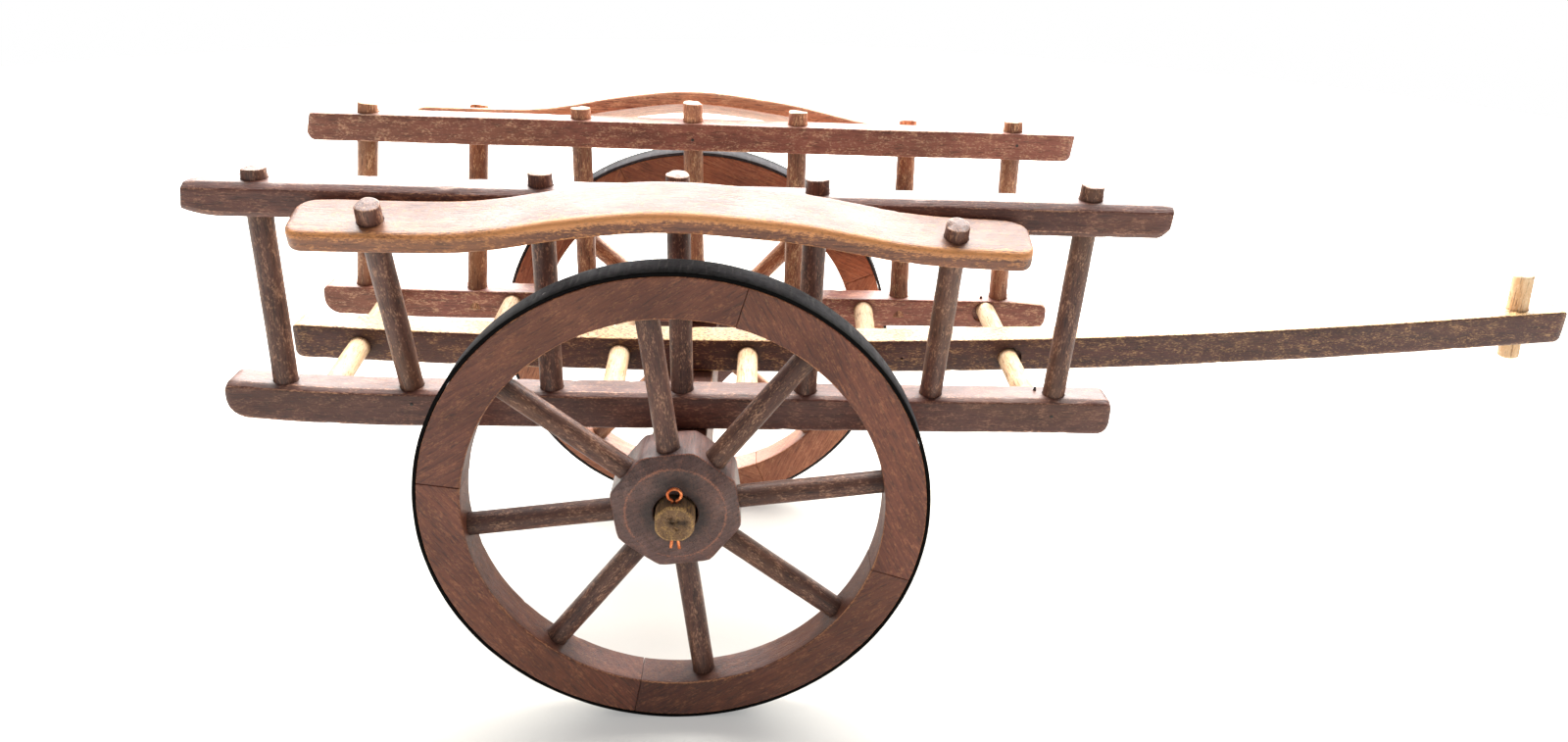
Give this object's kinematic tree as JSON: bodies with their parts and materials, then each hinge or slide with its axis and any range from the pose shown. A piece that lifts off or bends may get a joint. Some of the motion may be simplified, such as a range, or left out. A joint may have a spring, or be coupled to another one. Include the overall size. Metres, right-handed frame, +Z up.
{
  "type": "ox cart",
  "caption": "Small wooden ox cart with slatted side racks, a ladder bed, spoked wheels with felloes and a long draw pole.",
  "frame": {"origin": "on the floor under the middle of the cart's overall length, width centred between the wheels; the axle is 130.75 mm behind it", "axes": "+X forward along the draw pole, +Y to the cart's left, +Z up"},
  "size_m": [0.6742, 0.2332, 0.2655],
  "materials": {
    "stained_wood": "matte brown stain, worn",
    "rim_wood": "matte warm brown stain",
    "hub_wood": "dark, rubbed and greasy",
    "pale_dowel": "bare pale dowel, thin stain",
    "pole_wood": "matte brown stain, golden where worn",
    "axle_wood": "bare end grain, olive brown",
    "tyre_band": "matte dark grey band",
    "copper_pin": "bright copper colour"
  },
  "bodies": {
    "cart": {"rung_1": "pale_dowel", "rung_2": "pale_dowel", "rung_3": "pale_dowel", "rung_4": "pale_dowel", "rung_5": "pale_dowel", "rung_6": "pale_dowel", "draw_pole": "pole_wood", "hitch_peg": "pale_dowel", "axle": "axle_wood", "axle_bolster": "stained_wood", "right_cotter_pin": "copper_pin", "right_lower_rail": "stained_wood", "right_upper_rail": "stained_wood", "right_wheel_guard": "rim_wood", "right_stake_1": "stained_wood", "right_stake_2": "stained_wood", "right_stake_3": "stained_wood", "right_stake_4": "stained_wood", "right_stake_5": "stained_wood", "right_stake_6": "stained_wood", "right_stake_7": "stained_wood", "left_cotter_pin": "copper_pin", "left_lower_rail": "stained_wood", "left_upper_rail": "stained_wood", "left_wheel_guard": "rim_wood", "left_stake_1": "stained_wood", "left_stake_2": "stained_wood", "left_stake_3": "stained_wood", "left_stake_4": "stained_wood", "left_stake_5": "stained_wood", "left_stake_6": "stained_wood", "left_stake_7": "stained_wood"},
    "right_wheel": {"right_hub": "hub_wood", "right_spoke_1": "stained_wood", "right_spoke_2": "stained_wood", "right_spoke_3": "stained_wood", "right_spoke_4": "stained_wood", "right_spoke_5": "stained_wood", "right_spoke_6": "stained_wood", "right_spoke_7": "stained_wood", "right_spoke_8": "stained_wood", "right_felloe_1": "rim_wood", "right_felloe_2": "rim_wood", "right_felloe_3": "rim_wood", "right_felloe_4": "rim_wood", "right_tyre": "tyre_band"},
    "left_wheel": {"left_hub": "hub_wood", "left_spoke_1": "stained_wood", "left_spoke_2": "stained_wood", "left_spoke_3": "stained_wood", "left_spoke_4": "stained_wood", "left_spoke_5": "stained_wood", "left_spoke_6": "stained_wood", "left_spoke_7": "stained_wood", "left_spoke_8": "stained_wood", "left_felloe_1": "rim_wood", "left_felloe_2": "rim_wood", "left_felloe_3": "rim_wood", "left_felloe_4": "rim_wood", "left_tyre": "tyre_band"}
  },
  "joints": [
    {"name": "right_wheel_spin", "type": "hinge", "parent": "cart", "child": "right_wheel", "pos_m": [-0.13075, -0.0983, 0.115], "axis": [0, 1, 0], "continuous": true},
    {"name": "left_wheel_spin", "type": "hinge", "parent": "cart", "child": "left_wheel", "pos_m": [-0.13075, 0.0983, 0.115], "axis": [0, 1, 0], "continuous": true}
  ]
}
